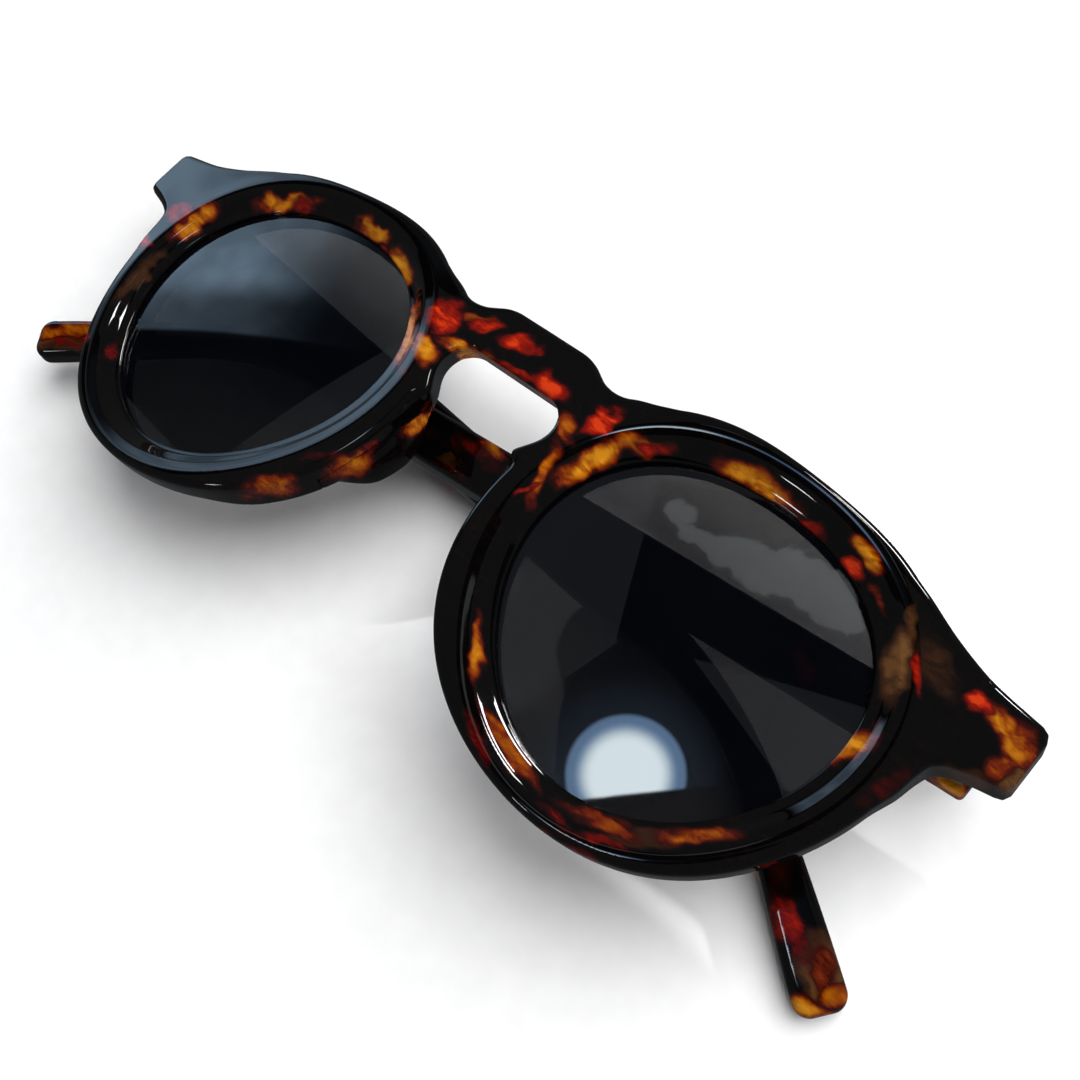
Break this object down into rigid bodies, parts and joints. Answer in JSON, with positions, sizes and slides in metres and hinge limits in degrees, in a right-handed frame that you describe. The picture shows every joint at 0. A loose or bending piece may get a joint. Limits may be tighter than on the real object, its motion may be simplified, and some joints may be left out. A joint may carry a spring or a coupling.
{
  "type": "sunglasses",
  "caption": "Round tortoiseshell acetate sunglasses with a keyhole bridge, smoke lenses and hinged folding temples, resting folded.",
  "frame": {"origin": "middle of the box round the folded glasses, on the surface they rest on", "axes": "+X to the wearer's left, +Y up to the brow, +Z out of the front of the glasses, which lie face up"},
  "size_m": [0.1409, 0.0484, 0.0209],
  "materials": {
    "front_acetate": "polished tortoiseshell acetate",
    "temple_acetate": "polished tortoiseshell acetate",
    "pad_acetate": "polished tortoiseshell acetate, bonded on",
    "smoke_lens": "neutral grey tinted lens, clear and glossy",
    "hinge_nickel": "nickel-plated, satin",
    "screw_steel": "bright steel",
    "core_wire": "nickel silver wire"
  },
  "bodies": {
    "front": {"frame_front": "front_acetate", "lens_left": "smoke_lens", "lens_right": "smoke_lens", "nose_pad_left": "pad_acetate", "nose_pad_right": "pad_acetate", "front_hinge_left": "hinge_nickel", "front_hinge_right": "hinge_nickel", "hinge_screw_left": "screw_steel", "hinge_screw_right": "screw_steel"},
    "temple_left": {"temple_left": "temple_acetate", "temple_hinge_left": "hinge_nickel", "core_wire_left": "core_wire"},
    "temple_right": {"temple_right": "temple_acetate", "temple_hinge_right": "hinge_nickel", "core_wire_right": "core_wire"}
  },
  "joints": [
    {"name": "left_temple_opens", "type": "hinge", "parent": "front", "child": "temple_left", "pos_m": [0.06496, 0.01119, 0.00975], "axis": [0, -1, 0], "range_deg": [0, 94]},
    {"name": "right_temple_opens", "type": "hinge", "parent": "front", "child": "temple_right", "pos_m": [-0.06496, 0.01119, 0.0052], "axis": [0, 1, 0], "range_deg": [0, 90]}
  ]
}
